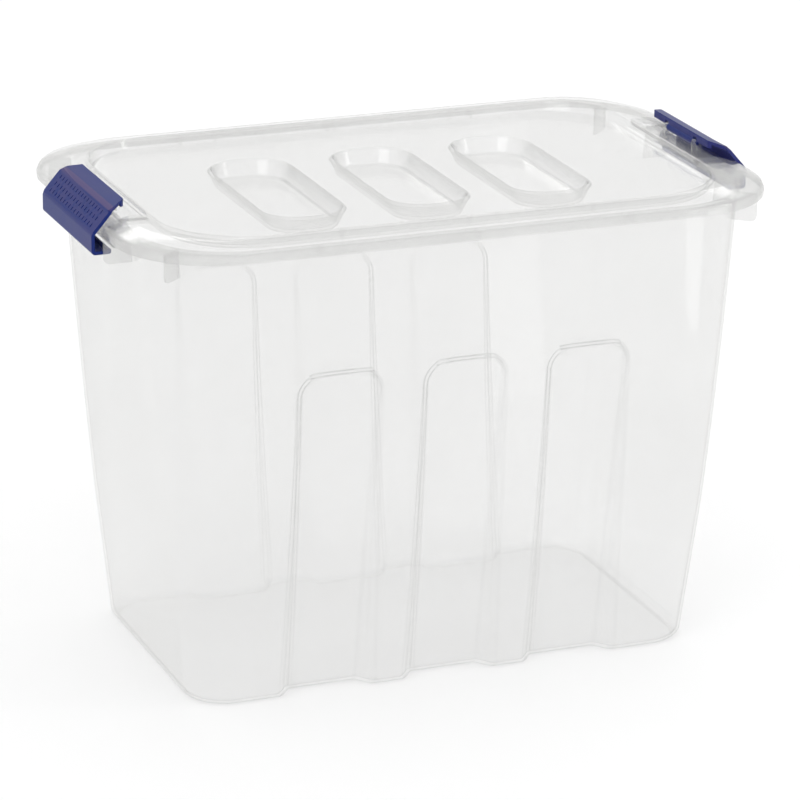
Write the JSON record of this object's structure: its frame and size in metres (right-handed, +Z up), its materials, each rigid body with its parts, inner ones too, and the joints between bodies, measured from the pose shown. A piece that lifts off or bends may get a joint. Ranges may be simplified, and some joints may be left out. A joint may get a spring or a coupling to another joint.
{
  "type": "storage box",
  "caption": "Tall clear rectangular storage box with rounded corners, recessed side panels, a clip-on lid with oblong pockets and a swing latch at each end.",
  "frame": {"origin": "middle of the tub's bottom face, on the surface it stands on", "axes": "+X along the long side towards the right latch, +Y from front to back, +Z up"},
  "size_m": [0.606, 0.38, 0.4403],
  "materials": {
    "clear_tub": "clear, faintly milky polypropylene, polished",
    "clear_lid": "clear, faintly milky polypropylene, satin top",
    "blue_latch": "moulded indigo blue polypropylene, semi-gloss"
  },
  "bodies": {
    "tub": {"tub": "clear_tub"},
    "lid": {"lid": "clear_lid"},
    "latch_left": {"latch_left": "blue_latch"},
    "latch_right": {"latch_right": "blue_latch"}
  },
  "joints": [
    {"name": "lid_lift", "type": "slide", "parent": "tub", "child": "lid", "axis": [0, 0, 1], "range_m": [0, 0.25]},
    {"name": "latch_right_swing", "type": "hinge", "parent": "lid", "child": "latch_right", "pos_m": [0.2725, 0, 0.4315], "axis": [0, -1, 0], "range_deg": [-5, 105]},
    {"name": "latch_left_swing", "type": "hinge", "parent": "lid", "child": "latch_left", "pos_m": [-0.2725, 0, 0.4315], "axis": [0, 1, 0], "range_deg": [-5, 105]}
  ]
}
